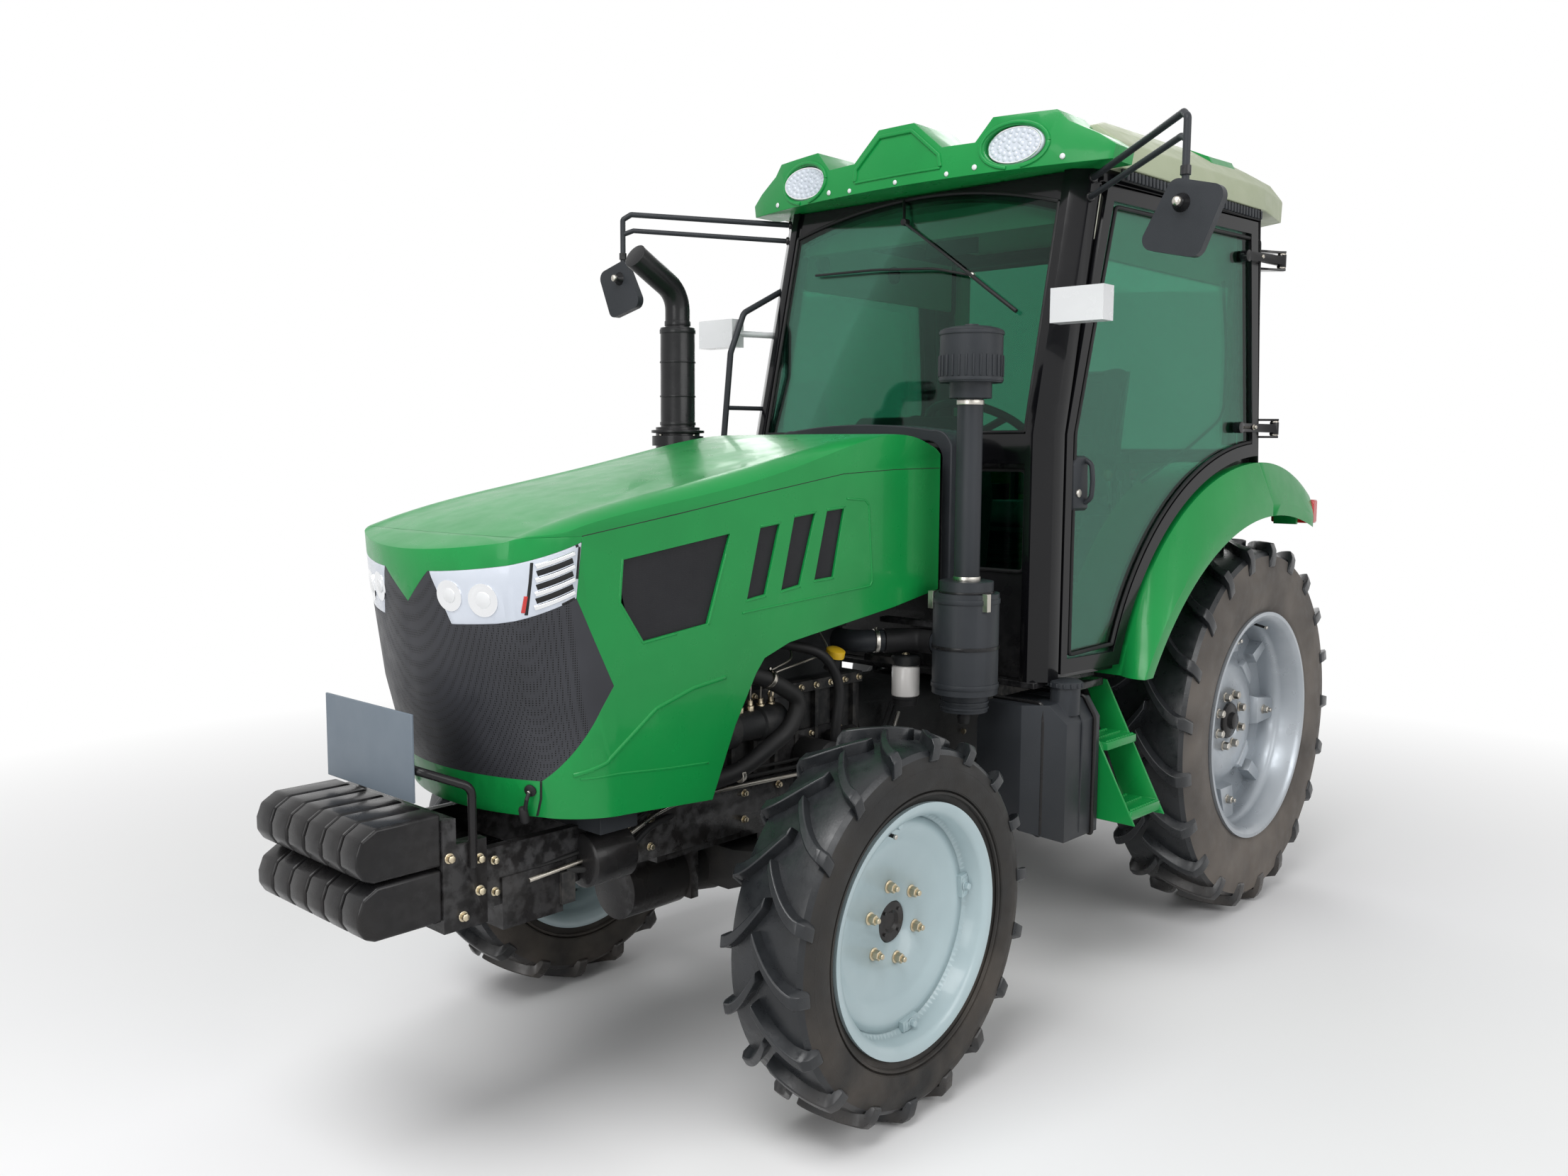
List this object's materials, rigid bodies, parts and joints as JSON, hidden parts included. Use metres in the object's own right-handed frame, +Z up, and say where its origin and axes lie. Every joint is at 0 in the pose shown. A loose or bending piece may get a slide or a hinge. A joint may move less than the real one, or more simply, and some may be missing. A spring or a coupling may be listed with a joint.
{
  "type": "farm tractor with cab",
  "caption": "Four-wheel-drive farm tractor with a glazed cab, tilting bonnet, steered front wheels, front weights and a rear three-point linkage.",
  "frame": {"origin": "on the ground at the middle of the overall box", "axes": "+X forward, +Y to the driver's left, +Z up"},
  "size_m": [4.3899, 2.4578, 2.7819],
  "materials": {
    "green": "semi-gloss green paint",
    "black": "satin black paint",
    "cast": "dark painted casting",
    "tyre": "matt black rubber",
    "front_rim": "pale blue-grey paint",
    "rear_rim": "silver paint",
    "glass": "lightly green-tinted glass",
    "lamp": "clear lamp covers",
    "red_lamp": "red lamp covers",
    "plastic": "moulded black plastic",
    "mesh": "black perforated sheet",
    "cream": "cream moulded panels",
    "seat_cloth": "black vinyl",
    "plate": "plain grey plate",
    "steel": "plain steel"
  },
  "bodies": {
    "chassis": {"front_axle": "cast", "front_frame": "black", "engine": "cast", "radiator": "black", "gearbox": "cast", "rear_axle": "cast", "front_weights": "black", "number_plate": "plate", "left_fender": "green", "right_fender": "green", "cowl": "plastic", "cab_frame": "black", "cab_floor": "black", "front_wall": "black", "inner_walls": "green", "windscreen": "glass", "front_lights": "glass", "rear_window": "glass", "headliner": "cream", "roof": "cream", "roof_visor": "green", "roof_lamps": "lamp", "seat": "seat_cloth", "seat_base": "black", "dashboard": "plastic", "steps": "green", "fuel_tank": "plastic", "tool_box": "black", "air_cleaner": "plastic", "muffler": "black", "mirrors": "plastic", "signal_lamps": "lamp", "rear_lamps": "red_lamp", "hitch_frame": "cast"},
    "bonnet": {"bonnet_top": "green", "left_side_panel": "green", "right_side_panel": "green", "bonnet_mesh": "mesh", "headlamps": "lamp", "grille": "mesh", "nose": "green"},
    "left_door": {"left_door": "black", "left_door_glass": "glass"},
    "right_door": {"right_door": "black", "right_door_glass": "glass"},
    "left_knuckle": {"left_knuckle": "cast"},
    "right_knuckle": {"right_knuckle": "cast"},
    "steering_rod": {"steering_rod": "steel"},
    "steering_wheel": {"steering_wheel": "plastic"},
    "front_left_wheel": {"front_left_tyre": "tyre", "front_left_rim": "front_rim"},
    "front_right_wheel": {"front_right_tyre": "tyre", "front_right_rim": "front_rim"},
    "rear_left_wheel": {"rear_left_tyre": "tyre", "rear_left_rim": "rear_rim"},
    "rear_right_wheel": {"rear_right_tyre": "tyre", "rear_right_rim": "rear_rim"},
    "lower_links": {"lower_links": "cast"},
    "lift_arms": {"lift_arms": "cast"},
    "lift_rods": {"lift_rods": "steel"}
  },
  "joints": [
    {"name": "bonnet_hinge", "type": "hinge", "parent": "chassis", "child": "bonnet", "pos_m": [0.345, 0, 1.69], "axis": [0, -1, 0], "range_deg": [0, 50]},
    {"name": "left_door_hinge", "type": "hinge", "parent": "chassis", "child": "left_door", "pos_m": [-1.185, 0.775, 1.7], "axis": [0, 0, 1], "range_deg": [0, 75]},
    {"name": "right_door_hinge", "type": "hinge", "parent": "chassis", "child": "right_door", "pos_m": [-1.185, -0.775, 1.7], "axis": [0, 0, -1], "range_deg": [0, 75]},
    {"name": "left_steer", "type": "hinge", "parent": "chassis", "child": "left_knuckle", "pos_m": [0.95, 0.56, 0.507], "axis": [0, 0, 1], "range_deg": [-35, 35]},
    {"name": "right_steer", "type": "hinge", "parent": "chassis", "child": "right_knuckle", "pos_m": [0.95, -0.56, 0.507], "axis": [0, 0, 1], "range_deg": [-35, 35]},
    {"name": "rod_slide", "type": "slide", "parent": "chassis", "child": "steering_rod", "axis": [0, 1, 0], "range_m": [-0.11, 0.11]},
    {"name": "steering_wheel_turn", "type": "hinge", "parent": "chassis", "child": "steering_wheel", "pos_m": [-0.425, 0, 1.8], "axis": [-0.5, 0, 0.866], "range_deg": [-540, 540]},
    {"name": "front_left_spin", "type": "hinge", "parent": "left_knuckle", "child": "front_left_wheel", "pos_m": [0.95, 0.67, 0.507], "axis": [0, 1, 0], "continuous": true},
    {"name": "front_right_spin", "type": "hinge", "parent": "right_knuckle", "child": "front_right_wheel", "pos_m": [0.95, -0.67, 0.507], "axis": [0, 1, 0], "continuous": true},
    {"name": "rear_left_spin", "type": "hinge", "parent": "chassis", "child": "rear_left_wheel", "pos_m": [-1.245, 0.601, 0.703], "axis": [0, 1, 0], "continuous": true},
    {"name": "rear_right_spin", "type": "hinge", "parent": "chassis", "child": "rear_right_wheel", "pos_m": [-1.245, -0.601, 0.703], "axis": [0, 1, 0], "continuous": true},
    {"name": "lower_link_lift", "type": "hinge", "parent": "chassis", "child": "lower_links", "pos_m": [-1.345, 0, 0.46], "axis": [0, 1, 0], "range_deg": [-12, 38]},
    {"name": "lift_arm_turn", "type": "hinge", "parent": "chassis", "child": "lift_arms", "pos_m": [-1.345, 0, 1.04], "axis": [0, 1, 0], "range_deg": [-12, 38]},
    {"name": "lift_rod_swing", "type": "hinge", "parent": "lift_arms", "child": "lift_rods", "pos_m": [-1.64419, 0, 1.01803], "axis": [0, 1, 0], "range_deg": [-38, 12]}
  ],
  "couplings": [
    {"joint": "right_steer", "follows": "left_steer", "ratio": 1},
    {"joint": "rod_slide", "follows": "left_steer", "m_per_rad": -0.165},
    {"joint": "steering_wheel_turn", "follows": "left_steer", "ratio": 15.429},
    {"joint": "lift_arm_turn", "follows": "lower_link_lift", "ratio": 1},
    {"joint": "lift_rod_swing", "follows": "lower_link_lift", "ratio": -1}
  ]
}
